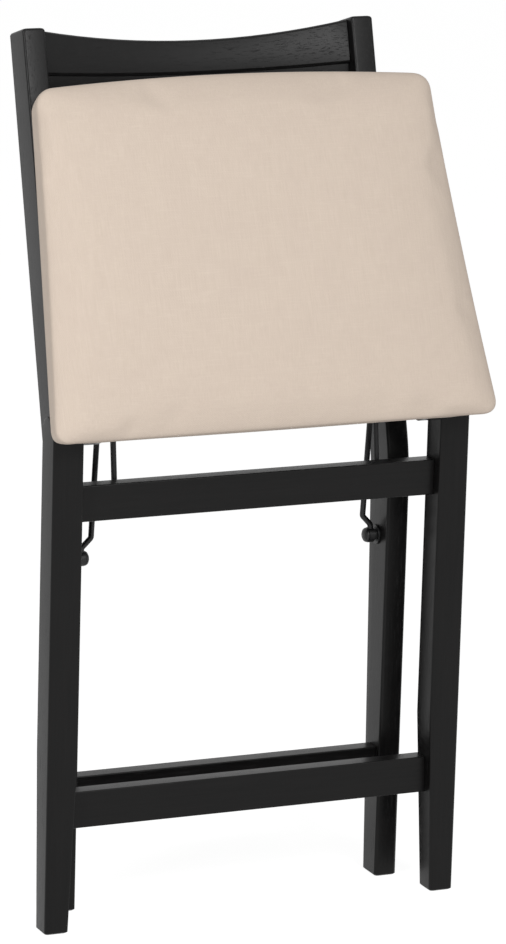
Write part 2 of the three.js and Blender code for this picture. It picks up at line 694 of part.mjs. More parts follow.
// Cleat under each side of the seat: a round nose on the hinge bolt, bored for the brace rod's end
function cleat() {
  const top = -UNDERSIDE - SEAM;
  const hinge = [HINGE_SETBACK, -(UNDERSIDE + HINGE_DROP)];
  const end = HINGE_SETBACK + CLEAT_LENGTH;
  const outline = [
    ...arc(hinge, CLEAT_NOSE, 2, 3, NOSE_STEPS),
    [hinge[0] + CLEAT_STEP, hinge[1] - CLEAT_NOSE],
    [hinge[0] + CLEAT_STEP + CLEAT_NOSE, top - CLEAT_HEIGHT],
    [end - CLEAT_HEIGHT / 2, top - CLEAT_HEIGHT],
    [end, top - CLEAT_HEIGHT / 2],
    [end, top],
    [hinge[0] - CLEAT_NOSE, top],
  ];
  const inner = CLEAT_FACE - CLEAT_THICKNESS;
  const rodEnd = [linkage.braceAlong, -BRACE_PIVOT_DEPTH];
  return cutBy(
    sidePlate(outline, inner, CLEAT_FACE),
    pin(ROD_RADIUS + RUNNING, inner - OVERRUN, CLEAT_FACE + OVERRUN, rodEnd),
    pin(HINGE_BOLT_RADIUS + RUNNING, inner - OVERRUN, CLEAT_FACE + OVERRUN, hinge),
  );
}

addPair('seat_cleat', cleat(), lacquer, seat);

// Shoulder bolts: the shank runs along x from the head's seat into the wood
const domeShares = [[0, 1], [0.55, 0.92], [0.88, 0.62], [1, 0.3]];

function bolt(shankRadius, shankLength, headRadius, headHeight) {
  const dome = domeShares.map(([out, over]) => [out * headRadius, -over * headHeight]);
  const shank = [[shankRadius, 0], [shankRadius, shankLength], [0, shankLength]];
  return turnedPiece([...dome, [headRadius, 0], ...shank]);
}

const hingeHead = CLEAT_FACE - CLEAT_THICKNESS - SEAM;
const hingeShank = FRONT_INNER + HINGE_BOLT_BURY - SEAM - hingeHead;
const hingeBolt = bolt(HINGE_BOLT_RADIUS, hingeShank, HINGE_HEAD_RADIUS, HINGE_HEAD_HEIGHT);
addPair('hinge_bolt', placed(hingeBolt, hingeHead, FRONT_HINGE), steel);

const eyeInner = BRACE_EYE_X - EYE_THICKNESS / 2;
const pivotHead = eyeInner - RUNNING;
const pivotShank = REAR_INNER + PIVOT_BOLT_BURY - SEAM - pivotHead;
const pivotBolt = bolt(PIVOT_BOLT_RADIUS, pivotShank, PIVOT_HEAD_RADIUS, PIVOT_HEAD_HEIGHT);
addPair('brace_bolt', placed(pivotBolt, pivotHead, BRACE_PIVOT), steel);

const eyeOuter = eyeInner + EYE_THICKNESS;
const spacerEnd = REAR_INNER - SEAM - eyeOuter - RUNNING;
const spacerRadius = PIVOT_BOLT_RADIUS + RUNNING + WASHER_THICKNESS;
const washer = turnedPiece([
  [PIVOT_BOLT_RADIUS + SEAM, 0],
  [spacerRadius, 0],
  [spacerRadius, spacerEnd - WASHER_THICKNESS],
  [WASHER_RADIUS, spacerEnd - WASHER_THICKNESS],
  [WASHER_RADIUS, spacerEnd],
  [PIVOT_BOLT_RADIUS + SEAM, spacerEnd],
  [PIVOT_BOLT_RADIUS + SEAM, 0],
]);
addPair('brace_washer', placed(washer, eyeOuter + RUNNING, BRACE_PIVOT), steel);

// Brace rod: an eye on the leg's bolt, a jog inwards, and a bent end in the cleat
function braceRod() {
  const onRod = (reach, x) => new THREE.Vector3(x, ...plus(BRACE_PIVOT, linkage.foldedWay, reach));
  const path = bentPath([
    onRod(EYE_RADIUS - ROD_RADIUS / 2, BRACE_EYE_X),
    onRod(BRACE_JOG_START, BRACE_EYE_X),
    onRod(BRACE_JOG_END, BRACE_X),
    onRod(linkage.braceLength, BRACE_X),
    onRod(linkage.braceLength, CLEAT_FACE - BRACE_END_INSET),
  ], [JOG_BEND, JOG_BEND, ROD_BEND]);
  const eye = pin(EYE_RADIUS, eyeInner, eyeOuter, BRACE_PIVOT);
  const hole = pin(PIVOT_BOLT_RADIUS + RUNNING, eyeInner - OVERRUN, eyeOuter + OVERRUN, BRACE_PIVOT);
  return cutBy(joined(eye, bar(path, ROD_RADIUS)), hole);
}

addPair('brace_rod', braceRod(), steel);

// Stay rod: its bent foot turns in the bracket on the upper rail, its eye lies beside the brace rod
const earInner = STAY_X + ROD_RADIUS + 2 * RUNNING;

function stayRod() {
  const { rivetFolded } = linkage;
  const footX = earInner + STAY_EAR_THICKNESS + STAY_END_PROUD;
  const way = minus(rivetFolded, STAY_PIVOT);
  const length = Math.hypot(...way);
  const top = plus(STAY_PIVOT, way, (length - EYE_RADIUS + ROD_RADIUS) / length);
  const foot = [new THREE.Vector3(footX, ...STAY_PIVOT), new THREE.Vector3(STAY_X, ...STAY_PIVOT)];
  const path = bentPath([...foot, new THREE.Vector3(STAY_X, ...top)], [ROD_RADIUS]);
  const eye = pin(EYE_RADIUS - ROD_RADIUS / 2, STAY_X - ROD_RADIUS, STAY_X + ROD_RADIUS, rivetFolded);
  const head = pin(RIVET_RADIUS, STAY_X - ROD_RADIUS - RIVET_HEAD_HEIGHT, STAY_X, rivetFolded);
  return joined(eye, head, bar(path, ROD_RADIUS));
}

function stayBracket() {
  const rear = RAIL_SETBACK + RAIL_THICKNESS + SEAM;
  const middle = earInner + STAY_EAR_THICKNESS / 2;
  const pivotZ = STAY_PIVOT[1];
  const plate = loft([0, 1].map(() => easedRectangle(
    middle - STAY_PLATE_WIDTH / 2, middle + STAY_PLATE_WIDTH / 2,
    pivotZ - STAY_PLATE_HEIGHT / 2, pivotZ + STAY_PLATE_HEIGHT / 2, EASE,
  )), (row, x, z) => [x, row === 0 ? rear : rear + STAY_PLATE_THICKNESS, z]);
  const ear = sidePlate([
    ...arc(STAY_PIVOT, STAY_EAR_RADIUS, -1, 1, NOSE_STEPS),
    [rear + STAY_PLATE_THICKNESS / 2, pivotZ + STAY_EAR_RADIUS],
    [rear + STAY_PLATE_THICKNESS / 2, pivotZ - STAY_EAR_RADIUS],
  ], earInner, earInner + STAY_EAR_THICKNESS);
  const through = [earInner - OVERRUN, earInner + STAY_EAR_THICKNESS + OVERRUN];
  return cutBy(joined(plate, ear), pin(ROD_RADIUS + RUNNING, ...through, STAY_PIVOT));
}

addPair('stay_rod', stayRod(), steel);
addPair('stay_bracket', stayBracket(), steel);

// The origin is on the floor, in the middle of the folded stool
stool.updateMatrixWorld(true);
const outline = new THREE.Box3().setFromObject(stool, true);
stool.position.y = -(outline.min.y + outline.max.y) / 2;
stool.updateMatrixWorld(true);
stool.userData.linkage = linkage;

export default stool;
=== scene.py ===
# Folding bar stool, folded and standing on its four feet: a linen seat on a charcoal lacquered
# frame with black steel rods. Metres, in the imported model's own frame.
import math

import bmesh
import bpy
from mathutils import Matrix, Vector


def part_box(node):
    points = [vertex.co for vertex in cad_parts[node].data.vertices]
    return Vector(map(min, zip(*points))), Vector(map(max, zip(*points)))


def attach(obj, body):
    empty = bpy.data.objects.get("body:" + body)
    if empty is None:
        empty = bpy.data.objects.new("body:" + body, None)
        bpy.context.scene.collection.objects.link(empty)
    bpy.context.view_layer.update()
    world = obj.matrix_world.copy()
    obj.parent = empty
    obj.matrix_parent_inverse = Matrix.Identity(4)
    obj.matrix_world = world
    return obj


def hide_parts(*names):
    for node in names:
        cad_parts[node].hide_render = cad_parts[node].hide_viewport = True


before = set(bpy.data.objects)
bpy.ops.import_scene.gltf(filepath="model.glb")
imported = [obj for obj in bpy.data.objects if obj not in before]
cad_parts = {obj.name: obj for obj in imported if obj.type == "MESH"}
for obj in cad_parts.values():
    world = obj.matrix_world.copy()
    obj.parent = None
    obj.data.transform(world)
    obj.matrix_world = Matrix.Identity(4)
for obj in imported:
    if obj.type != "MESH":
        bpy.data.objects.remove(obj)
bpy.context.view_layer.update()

# The photograph's view: a long lens in front of the stool, to its left and well above the seat,
# tipped by a degree and a half.
EYE = (-2.1386, -4.8437, 1.7562)
EYE_AROUND = math.radians(-24.132)
EYE_DOWN = math.radians(13.609)
EYE_TIPPED = math.radians(1.633)
scene = bpy.context.scene
lens = bpy.data.cameras.new("photograph")
lens.sensor_fit = "VERTICAL"
lens.sensor_height = 36
lens.lens = 190.11
lens.clip_end = 100
camera = bpy.data.objects.new("photograph", lens)
scene.collection.objects.link(camera)
scene.camera = camera
sight = Vector((
    math.sin(EYE_AROUND) * math.cos(EYE_DOWN),
    -math.cos(EYE_AROUND) * math.cos(EYE_DOWN),
    math.sin(EYE_DOWN)))
level = Vector((math.cos(EYE_AROUND), math.sin(EYE_AROUND), 0))
upward = sight.cross(level)
across = level * math.cos(EYE_TIPPED) + upward * math.sin(EYE_TIPPED)
above = upward * math.cos(EYE_TIPPED) - level * math.sin(EYE_TIPPED)
turned = Matrix((across, above, sight)).transposed().to_4x4()
camera.matrix_world = Matrix.Translation(EYE) @ turned

# Front frame: two square legs and two rails in solid timber, glued up. Charcoal stain under a
# sprayed satin lacquer, so that the grain only just shows and the eased edges catch the light.


class Wire:
    """An output socket. Sums, differences and products of wires add Math nodes."""

    def __init__(self, nodes, socket):
        self.nodes = nodes
        self.socket = socket

    def __add__(self, other):
        return self.nodes.math("ADD", self, other)

    def __radd__(self, other):
        return self.nodes.math("ADD", other, self)

    def __sub__(self, other):
        return self.nodes.math("SUBTRACT", self, other)

    def __rsub__(self, other):
        return self.nodes.math("SUBTRACT", other, self)

    def __mul__(self, other):
        return self.nodes.math("MULTIPLY", self, other)

    def __rmul__(self, other):
        return self.nodes.math("MULTIPLY", other, self)


class Nodes:
    """The nodes of a finish, of the room or of a modifier."""

    def __init__(self, tree):
        self.tree = tree

    def node(self, kind, settings, sockets, output=0):
        """A node of this kind: its settings first, then its sockets, as values or as wires."""
        made = self.tree.nodes.new(kind)
        for name, value in settings.items():
            setattr(made, name, value)
        for name, value in sockets.items():
            self.feed(made.inputs[name], value)
        return Wire(self, made.outputs[output])

    def feed(self, socket, value):
        if isinstance(value, Wire):
            self.tree.links.new(value.socket, socket)
        else:
            socket.default_value = value

    def math(self, operation, *values):
        return self.node("ShaderNodeMath", {"operation": operation}, dict(enumerate(values)))

    def stretch(self, value, low, high, to_low=0, to_high=1):
        """A value stretched from one range to another and kept inside it."""
        return self.node("ShaderNodeMapRange", {}, {
            "Value": value, "From Min": low, "From Max": high, "To Min": to_low, "To Max": to_high})


class Finish(Nodes):
    """A material, made up node by node around its shader."""

    def __init__(self, name):
        self.material = bpy.data.materials.new(name)
        self.material.use_nodes = True
        super().__init__(self.material.node_tree)
        self.shader = self.tree.nodes["Principled BSDF"]

    def between(self, share, first, second):
        """A colour between two, by a share."""
        return self.node("ShaderNodeMix", {"data_type": "RGBA"}, {0: share, 6: first, 7: second}, 2)

    def noise(self, where, scale, detail=3, roughness=0.5):
        return self.node("ShaderNodeTexNoise", {}, {
            "Vector": where, "Scale": scale, "Detail": detail, "Roughness": roughness})

    def place(self, start=(0, 0, 0), turn=(0, 0, 0), size=(1, 1, 1)):
        """Object coordinates counted from a start, along turned axes, in steps of a size."""
        where = self.node("ShaderNodeTexCoord", {}, {}, "Object")
        return self.node("ShaderNodeMapping", {"vector_type": "TEXTURE"}, {
            "Vector": where, "Location": start, "Rotation": turn, "Scale": size})

    def surface(self, sockets):
        for name, value in sockets.items():
            self.feed(self.shader.inputs[name], value)

    def relief(self, height, depth, strength=1):
        """Raised and sunk detail, with its full height in metres."""
        bump = self.node("ShaderNodeBump", {}, {
            "Height": height, "Distance": depth, "Strength": strength})
        self.feed(self.shader.inputs["Normal"], bump)


def shade(red, green, blue):
    """A colour as it is seen, from 0 to 255, as the shader wants it."""
    seen = [part / 255 for part in (red, green, blue)]
    return (*[(part + 0.055) ** 2.4 / 1.055 ** 2.4 for part in seen], 1)


GRAIN_LENGTH = 0.085
GRAIN_WIDTH = 0.0032
STAIN_DARK = shade(12, 12, 12)
STAIN_LIGHT = shade(19, 18, 18)
STAIN_WORN = shade(24, 23, 23)
OPEN_PORE = shade(7, 7, 7)
PORE_DEPTH = 0.0001


def lacquer(name, along, turn=(0, 0, 0)):
    """Stain under lacquer, with the grain along one axis of the timber."""
    finish = Finish(name)
    figure = [GRAIN_LENGTH if axis == along else GRAIN_WIDTH for axis in "XYZ"]
    grain = finish.place(turn=turn, size=figure)
    streaks = finish.noise(grain, 1, 6, 0.62)
    pores = finish.stretch(finish.noise(grain, 3.1, 2, 0.7), 0.58, 0.7)
    cloud = finish.noise(finish.place(), 7, 2)
    tone = finish.between(finish.stretch(streaks, 0.3, 0.72), STAIN_DARK, STAIN_LIGHT)
    tone = finish.between(finish.stretch(cloud, 0.35, 0.75, 0, 0.3), tone, STAIN_WORN)
    finish.surface({
        "Base Color": finish.between(pores * 0.5, tone, OPEN_PORE),
        "Roughness": 0.24 + cloud * 0.14 + pores * 0.12,
        "IOR": 1.26,
    })
    finish.relief(streaks * 0.35 - pores, PORE_DEPTH, 0.6)
    return finish.material


# Facets that meet at less than this are shaded as one curve
CURVE_LIMIT = math.radians(50)
curves = bpy.data.node_groups.new("curves_smooth", "GeometryNodeTree")
curves.is_modifier = True
for way in ("INPUT", "OUTPUT"):
    curves.interface.new_socket("Geometry", in_out=way, socket_type="NodeSocketGeometry")
shading = Nodes(curves)
edge_angle = shading.node("GeometryNodeInputMeshEdgeAngle", {}, {}, "Unsigned Angle")
sharp = shading.node("FunctionNodeCompare", {"data_type": "FLOAT", "operation": "GREATER_THAN"}, {
    0: edge_angle, 1: CURVE_LIMIT})
smooth = shading.node("GeometryNodeSetMeshNormal", {"mode": "SHARPNESS"}, {
    "Mesh": shading.node("NodeGroupInput", {}, {}), "Remove Custom": True, "Edge Sharpness": sharp})
shading.feed(curves.nodes.new("NodeGroupOutput").inputs[0], smooth)

FACET_WELD = 0.00001
EDGE_LIMIT = math.radians(45)
TIMBER_EDGE = 0.0005


def eased(piece, width):
    """Sharp edges lightly sanded, facets of rounded edges shaded as one curve."""
    weld = piece.modifiers.new("facets_welded", "WELD")
    weld.merge_threshold = FACET_WELD
    sanded = piece.modifiers.new("edges_sanded", "BEVEL")
    sanded.width = width
    sanded.segments = 2
    sanded.limit_method = "ANGLE"
    sanded.angle_limit = EDGE_LIMIT
    piece.modifiers.new("curves_smooth", "NODES").node_group = curves
    piece.modifiers.new("flats_kept", "WEIGHTED_NORMAL").keep_sharp = True


def finished(name, material, edge=TIMBER_EDGE):
    """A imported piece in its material, with its edges eased."""
    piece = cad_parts[name]
    piece.material_slots[0].material = material
    eased(piece, edge)


upright = lacquer("lacquer_upright", "Z")
crosswise = lacquer("lacquer_crosswise", "X")
for name in ("front_leg_right", "front_leg_left"):
    finished(name, upright)
for name in ("front_upper_rail", "foot_rail"):
    finished(name, crosswise)

# Rear frame: two legs bent out of one piece, which run up into the back, with a stretcher low down
# and a rail that carries the open seat. The same timber and lacquer.
for name in ("rear_leg_right", "rear_leg_left"):
    finished(name, upright)
for name in ("rear_stretcher", "rear_seat_rail"):
    finished(name, crosswise)

# Back: a crest rail, scooped on top and hollowed for the sitter, and two bent slats below it. The
# same timber and lacquer, glued in between the posts.
for name in ("crest_rail", "back_slat_upper", "back_slat_lower"):
    finished(name, crosswise)

# Linkage: brace and stay rods, their brackets, bolts and spacers, in mild steel, bent, pressed or
# turned and then powder coated black, with the coat's faint orange peel. Each bracket is held on
# the upper rail by two cross-head screws.
COAT_DARK = shade(15, 15, 16)
COAT_RUBBED = shade(30, 30, 31)
PEEL_DEPTH = 0.00008
STEEL_EDGE = 0.0002


def powder_coat(name):
    finish = Finish(name)
    peel = finish.noise(finish.place(), 900, 2)
    rubbed = finish.noise(finish.place(), 45, 3)
    finish.surface({
        "Base Color": finish.between(finish.stretch(rubbed, 0.35, 0.7), COAT_DARK, COAT_RUBBED),
        "Roughness": 0.34 + rubbed * 0.2,
        "Metallic": 0.25,
        "Specular IOR Level": 0.5,
    })
    finish.relief(peel, PEEL_DEPTH, 0.6)
    return finish.material


coated = powder_coat("black_powder_coat")
for side in ("right", "left"):
    for part in ("hinge_bolt", "brace_bolt", "brace_washer", "brace_rod", "stay_rod", "stay_bracket"):
        finished(f"{part}_{side}", coated, STEEL_EDGE)

# A screw head's sizes, in radii: its rim and dome as distance out and height, then its recess
HEAD_SIDES = 24
HEAD_DOME = ((1, 0), (1, 0.16), (0.93, 0.3), (0.8, 0.41), (0.62, 0.48))
RECESS_CORNERS = 12
RECESS_ARM = 0.46
RECESS_SLIT = 0.1
RECESS_MOUTH = 0.5
RECESS_FLOOR = 0.12
RECESS_TAPER = 0.8
SCREW_EDGE = 0.0001
BRACKET_SCREW = 0.0032
BRACKET_PLATE = 0.0022
BRACKET_SCREW_ASIDE = 0.0098
BRACKET_SCREW_UP = 0.0065


def added(name, form, material, body):
    """A new piece from its form: smooth, finished and riding on its body."""
    mesh = bpy.data.meshes.new(name)
    form.to_mesh(mesh)
    form.free()
    mesh.shade_smooth()
    mesh.materials.append(material)
    piece = bpy.data.objects.new(name, mesh)
    scene.collection.objects.link(piece)
    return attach(piece, body)


def walled(form, lower, upper):
    """Quads between two rings of as many points."""
    for i in range(len(lower)):
        j = (i + 1) % len(lower)
        form.faces.new((lower[i], lower[j], upper[j], upper[i]))


def recess_corner(i):
    """Which of the cross's corners faces a point of the dome's innermost ring."""
    return (round((i + 0.5) * RECESS_CORNERS / HEAD_SIDES) - 1) % RECESS_CORNERS


def screw_head(form, radius, place):
    """A low domed head with a cross recess, standing up from where it is placed."""
    rings = []
    for out, up in HEAD_DOME:
        turns = (math.tau * step / HEAD_SIDES for step in range(HEAD_SIDES))
        rings.append([form.verts.new((
            out * radius * math.cos(turn), out * radius * math.sin(turn), up * radius,
        )) for turn in turns])
    arm = RECESS_ARM * radius
    slit = RECESS_SLIT * radius
    quarter = [Vector((arm, -slit, 0)), Vector((arm, slit, 0)), Vector((slit, slit, 0))]
    cross = []
    for turn in range(4):
        cross += [Matrix.Rotation(turn * math.pi / 2, 3, "Z") @ corner for corner in quarter]
    mouth = [form.verts.new((corner.x, corner.y, RECESS_MOUTH * radius)) for corner in cross]
    bottom = [form.verts.new((
        corner.x * RECESS_TAPER, corner.y * RECESS_TAPER, RECESS_FLOOR * radius,
    )) for corner in cross]
    for lower, upper in [*zip(rings, rings[1:]), (mouth, bottom)]:
        walled(form, lower, upper)
    form.faces.new(bottom)
    form.faces.new(list(reversed(rings[0])))
    for i in range(HEAD_SIDES):
        j = (i + 1) % HEAD_SIDES
        near = recess_corner(i)
        far = recess_corner(i + 1)
        lip = [mouth[near]] if near == far else [mouth[far], mouth[near]]
        form.faces.new((rings[-1][i], rings[-1][j], *lip))
    points = [vert for ring in (*rings, mouth, bottom) for vert in ring]
    bmesh.ops.transform(form, matrix=place, verts=points)


for side, way in (("right", 1), ("left", -1)):
    low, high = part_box(f"stay_bracket_{side}")
    middle = (low + high) / 2
    screws = bmesh.new()
    for reach in (1, -1):
        spot = Matrix.Translation((
            middle.x + reach * BRACKET_SCREW_ASIDE,
            low.y + BRACKET_PLATE,
            middle.z + way * reach * BRACKET_SCREW_UP))
        facing_back = Matrix.Rotation(-math.pi / 2, 4, "X")
        driven = Matrix.Rotation(reach * 0.5, 4, "Z")
        screw_head(screws, BRACKET_SCREW, spot @ facing_back @ driven)
    bmesh.ops.recalc_face_normals(screws, faces=screws.faces)
    pair = added(f"bracket_screws_{side}", screws, coated, "front_frame")
    eased(pair, SCREW_EDGE)

# Seat board and cleats: a plywood board screwed down on two lacquered cleats, which carry the
# hinge bolts. Everything on the seat is drawn lying flat and tilted up with it.
SEAT_FRONT = Vector((0, -0.1396906, 0.5495312))
SEAT_TILT = math.radians(67)
SEAT_TURN = (SEAT_TILT, 0, 0)
PLY = 0.0015
PLY_FACE_LIGHT = shade(176, 142, 102)
PLY_FACE_DARK = shade(132, 98, 64)
PLY_GLUE = shade(74, 50, 32)
PLY_RELIEF = 0.0001
CLEAT_UNDERSIDE = -0.0555
CLEAT_SCREW = 0.0042
# How far from the seat's front each screw of a cleat sits, and how far it was driven
CLEAT_SCREWS = ((0.092, 0.3), (0.146, 1.1), (0.2, 0.7))
seat_place = Matrix.Translation(SEAT_FRONT) @ Matrix.Rotation(SEAT_TILT, 4, "X")
seat_up = seat_place.to_3x3() @ Vector((0, 0, 1))


def plywood(name):
    """Face veneer with its grain across the seat, and glue lines between the plies."""
    finish = Finish(name)
    figure = finish.noise(finish.place(SEAT_FRONT, SEAT_TURN, (0.09, 0.003, 0.003)), 1, 6, 0.6)
    plies = finish.place(SEAT_FRONT, SEAT_TURN, (PLY, PLY, PLY))
    height = finish.node("ShaderNodeSeparateXYZ", {}, {"Vector": plies}, "Z")
    glue = finish.stretch(finish.math("PINGPONG", height, 1), 0, 0.2, 0.5, 0)
    face = finish.between(figure, PLY_FACE_LIGHT, PLY_FACE_DARK)
    finish.surface({
        "Base Color": finish.between(glue, face, PLY_GLUE),
        "Roughness": 0.7 + figure * 0.15,
    })
    finish.relief(figure, PLY_RELIEF)
    return finish.material


finished("seat_board", plywood("bare_plywood"))
seat_grain = lacquer("lacquer_seat_cleats", "Y", SEAT_TURN)
for side, way in (("right", 1), ("left", -1)):
    finished(f"seat_cleat_{side}", seat_grain)
    low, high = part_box(f"seat_cleat_{side}")
    screws = bmesh.new()
    for along, turn in CLEAT_SCREWS:
        spot = Matrix.Translation(((low.x + high.x) / 2, along, CLEAT_UNDERSIDE))
        facing_down = Matrix.Rotation(math.pi, 4, "X")
        driven = Matrix.Rotation(way * turn, 4, "Z")
        screw_head(screws, CLEAT_SCREW, seat_place @ spot @ facing_down @ driven)
    bmesh.ops.recalc_face_normals(screws, faces=screws.faces)
    eased(added(f"cleat_screws_{side}", screws, coated, "seat"), SCREW_EDGE)

# Seat cushion: foam glued on the board under oatmeal linen, drawn tight, turned under the board's
# edge and stapled. It is one closed form with a pocket for the board, filled out by cloth pressure.
SEAT_LENGTH = 0.396
SEAT_HALF_FRONT = 0.258
SEAT_HALF_REAR = 0.232
CORNER_FRONT = 0.015
CORNER_REAR = 0.02
CORNER_LEAST = 0.003
CORNER_STEPS = 16
BOW_FRONT = 0.003
BOW_REAR = 0.012
BOARD_INSET = 0.008
POCKET_GAP = 0.0003
POCKET_TOP = -0.012
POCKET_HEIGHTS = (POCKET_TOP, -0.0166, -0.0208)
HEM_TOP = -0.0246
HEM_BOTTOM = -0.0261
HEM_WIDTH = 0.024
HEM_SHARES = (0.22, 0.45, 0.7, 0.97)
CROWN_TOP = 0.027
CROWN_RISE = 0.015
CROWN_EDGE = 0.016
CROWN_EDGE_SHARE = 0.62
CROWN_REACH = 0.085
WALL_TUCK = 0.008
WALL_WAIST = 0.003
# Up the wall: shares of the tuck, of the wall's height and of the waist, then how firmly it is held
WALL_ROWS = (
    (1, 0, 0, 1), (0.85, 0.025, 0.1, 0.9), (0.72, 0.06, 0.2, 0.8), (0.6, 0.12, 0.33, 0.6),
    (0.5, 0.2, 0.5, 0.4), (0.36, 0.31, 0.66, 0.25), (0.26, 0.42, 0.8, 0.2), (0.14, 0.51, 0.9, 0.15),
    (0.05, 0.6, 1, 0.12), (0.01, 0.7, 1, 0.1), (0, 0.8, 1, 0.1),
)
HEM_FOLD = 0.0008
WALL_FOLD = 0.0014
FOLD_SPAN = 6
# Points along the front or rear edge, and along a side
LONG_POINTS = 92
SHORT_POINTS = 70
LINEN_DARK = shade(221, 205, 189)
LINEN_LIGHT = shade(230, 214, 199)
LINEN_SLUB = shade(237, 222, 207)
LINEN_MOTTLE = shade(214, 196, 184)
# Painted shade: the linen's colour where it lies in the weave's hollows between the threads
LINEN_HOLLOW_SHADE = shade(174, 153, 135)
LINEN_RELIEF = 0.0002
SLUB_LENGTH = 0.03
SLUB_WIDTH = 0.0011
THREADS = 0.0017
FILLING_STEPS = 20
FILLING_RISE = 0.003
FILLING_DRIFT = 0.0008


def seat_edge(inset, waist=0, long=LONG_POINTS, short=SHORT_POINTS):
    """The seat's outline set in by a distance and drawn in by a waist between its corners, as
    points from corner to corner: right side, rear, left side, front."""
    def half_at(y):
        return SEAT_HALF_FRONT + (SEAT_HALF_REAR - SEAT_HALF_FRONT) * y / SEAT_LENGTH - inset

    right = []
    for corner, y, outward, start in (
        (CORNER_FRONT, inset, -1, -1), (CORNER_REAR, SEAT_LENGTH - inset, 1, 0),
    ):
        radius = max(corner - inset, CORNER_LEAST)
        for step in range(CORNER_STEPS + 1):
            angle = (start + step / CORNER_STEPS) * math.pi / 2
            right.append(Vector((
                half_at(y) - radius + radius * math.cos(angle),
                y - outward * radius + radius * math.sin(angle))))
    loop = right + [Vector((-point.x, point.y)) for point in reversed(right)]
    edge_points = []
    for side, count in enumerate((short, long, short, long)):
        first = CORNER_STEPS // 2 + side * (CORNER_STEPS + 1)
        run = [loop[i % len(loop)] for i in range(first, first + CORNER_STEPS + 2)]
        edge_points += spaced(run, count)
    half = SEAT_LENGTH / 2 - inset
    shaped = []
    for point in edge_points:
        along = (point.y - SEAT_LENGTH / 2) / half
        over = point.x / half_at(point.y)
        bow = (BOW_REAR if along > 0 else BOW_FRONT) * over ** 2
        shaped.append(Vector((
            point.x * (1 - waist * (1 - along ** 2) / half_at(point.y)),
            point.y - along * (bow + waist * (1 - over ** 2)))))
    return shaped


def spaced(run, count):
    """Evenly spaced points along a run, without its last one."""
    lengths = [0]
    for a, b in zip(run, run[1:]):
        lengths.append(lengths[-1] + (b - a).length)
    points = []
    at = 0
    for step in range(count):
        target = lengths[-1] * step / count
        while lengths[at + 1] < target:
            at += 1
        share = (target - lengths[at]) / (lengths[at + 1] - lengths[at])
        points.append(run[at].lerp(run[at + 1], share))
    return points


def spread(mesh, rim, height_at):
    """A grid of quads across a rim, each point's height set by how far in it lies."""
    long = LONG_POINTS
    short = SHORT_POINTS
    grid = [[None] * (short + 1) for column in range(long + 1)]
    for i in range(short):
        grid[long][i] = rim[i]
        grid[0][short - i] = rim[short + long + i]
    for i in range(long):
        grid[long - i][short] = rim[short + i]
        grid[i][0] = rim[2 * short + long + i]
    inner = []
    for i in range(1, long):
        for j in range(1, short):
            s = i / long
            t = j / short
            flat = (
                grid[i][0].co * (1 - t) + grid[i][short].co * t
                + grid[0][j].co * (1 - s) + grid[long][j].co * s
                - grid[0][0].co * (1 - s) * (1 - t) - grid[long][0].co * s * (1 - t)
                - grid[0][short].co * (1 - s) * t - grid[long][short].co * s * t
            )
            from_side = min(s, 1 - s) * 2 * SEAT_HALF_REAR
            from_end = min(t, 1 - t) * SEAT_LENGTH
            inward = from_side * from_end / (from_side + from_end)
            grid[i][j] = mesh.verts.new((flat.x, flat.y, height_at(inward)))
            inner.append(grid[i][j])
    for i in range(long):
        for j in range(short):
            mesh.faces.new((grid[i][j], grid[i + 1][j], grid[i + 1][j + 1], grid[i][j + 1]))
    return inner


def crown(inward):
    """The crown's share at a distance in: steep over the foam's edge, then gently on."""
    steep = 1 - math.exp(-inward / CROWN_EDGE)
    way_in = min(max(inward / CROWN_REACH, 0), 1)
    gentle = way_in * way_in * (3 - 2 * way_in)
    return CROWN_EDGE_SHARE * steep + (1 - CROWN_EDGE_SHARE) * gentle


def cushion_mesh():
    """Rings from the pocket's ceiling out over hem and wall, then a grid across the top, and how
    firmly board and staples hold each point. Hem and wall are gathered at the corners."""
    pocket = seat_edge(BOARD_INSET - POCKET_GAP)
    hem = [seat_edge(BOARD_INSET + HEM_WIDTH * share) for share in HEM_SHARES]
    hem_end = seat_edge(BOARD_INSET + HEM_WIDTH)
    wall = CROWN_TOP - CROWN_RISE - HEM_BOTTOM
    rings = [(pocket, height, 1, 0) for height in (*POCKET_HEIGHTS, HEM_TOP)]
    rings += [(ring, HEM_TOP, 1, 0) for ring in hem]
    rings += [(hem_end, (HEM_TOP + HEM_BOTTOM) / 2, 1, 0)]
    rings += [(ring, HEM_BOTTOM, 1, HEM_FOLD) for ring in reversed(hem)]
    for tuck, rise, waist, firm in WALL_ROWS:
        ring = seat_edge(tuck * WALL_TUCK, waist * WALL_WAIST)
        rings.append((ring, HEM_BOTTOM + rise * wall, firm, WALL_FOLD * max(0, 0.5 - rise)))
    mesh = bmesh.new()
    rows = [[mesh.verts.new((*point, height)) for point in ring] for ring, height, firm, fold in rings]
    sides = (0, SHORT_POINTS, LONG_POINTS, SHORT_POINTS, LONG_POINTS)
    corners = [sum(sides[:i + 1]) for i in range(len(sides))]
    middle = Vector((0, SEAT_LENGTH / 2, 0))
    for row, (ring, height, firm, fold) in zip(rows, rings):
        for i, vert in enumerate(row):
            away = min(abs(i - corner) for corner in corners)
            sunk = away % 2 * max(0, 1 - away / FOLD_SPAN) * fold
            vert.co += Vector((0, 0, sunk)) + (middle - vert.co).normalized() * sunk
    for lower, upper in zip(rows, rows[1:]):
        walled(mesh, lower, upper)
    shoulder = rings[-1][1]
    spread(mesh, rows[-1], lambda inward: shoulder + (CROWN_TOP - shoulder) * crown(inward))
    ceiling = spread(mesh, rows[0], lambda inward: POCKET_TOP)
    mesh.verts.index_update()
    bmesh.ops.recalc_face_normals(mesh, faces=mesh.faces)
    held = {vert.index: firm for row, (*ring, firm, fold) in zip(rows, rings) for vert in row}
    held.update({vert.index: 1 for vert in ceiling})
    mesh.transform(seat_place)
    return mesh, held


